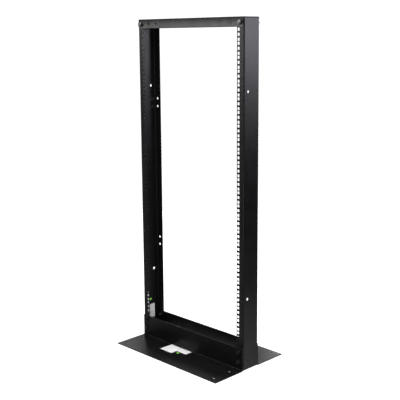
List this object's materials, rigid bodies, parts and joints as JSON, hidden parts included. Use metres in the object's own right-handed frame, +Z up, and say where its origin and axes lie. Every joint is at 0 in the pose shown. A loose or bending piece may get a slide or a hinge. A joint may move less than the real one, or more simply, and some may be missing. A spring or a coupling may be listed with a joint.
{
  "type": "two post open frame equipment rack",
  "caption": "Free-standing two post open frame rack for 19 inch equipment: two steel channel posts with square rail holes, joined by top angles and base angles with floor plates.",
  "frame": {"origin": "on the floor, midway between the posts and midway between the outer edges of the two floor plates", "axes": "+X to the right-hand post, +Y to the rear, +Z up; the rail flanges face -Y"},
  "size_m": [0.514, 0.348, 1.197],
  "materials": {
    "black_powder_coat": "satin fine-texture black powder coat",
    "bright_zinc": "bright zinc plate",
    "black_oxide": "black zinc, satin",
    "label_white": "blank white adhesive label, matt",
    "dot_green": "plain green adhesive dot"
  },
  "bodies": {
    "root": {"left_post": "black_powder_coat", "right_post": "black_powder_coat", "top_angle_front": "black_powder_coat", "top_angle_rear": "black_powder_coat", "base_angle_front": "black_powder_coat", "base_angle_rear": "black_powder_coat", "top_bolt_front_left": "bright_zinc", "top_bolt_front_right": "bright_zinc", "top_bolt_rear_left": "bright_zinc", "top_bolt_rear_right": "bright_zinc", "top_washers": "black_oxide", "top_lock_washers": "black_oxide", "top_nuts": "bright_zinc", "base_bolts_front_left": "black_oxide", "base_bolts_front_right": "black_oxide", "base_bolts_rear_left": "black_oxide", "base_bolts_rear_right": "black_oxide", "base_washers_front": "black_oxide", "base_washers_rear": "black_oxide", "base_lock_washers_front": "black_oxide", "base_lock_washers_rear": "black_oxide", "base_nuts_front_left": "black_oxide", "base_nuts_front_right": "black_oxide", "base_nuts_rear_left": "black_oxide", "base_nuts_rear_right": "black_oxide", "base_label": "label_white", "base_label_dot": "dot_green", "post_label": "label_white", "post_label_dot": "dot_green"}
  },
  "joints": []
}
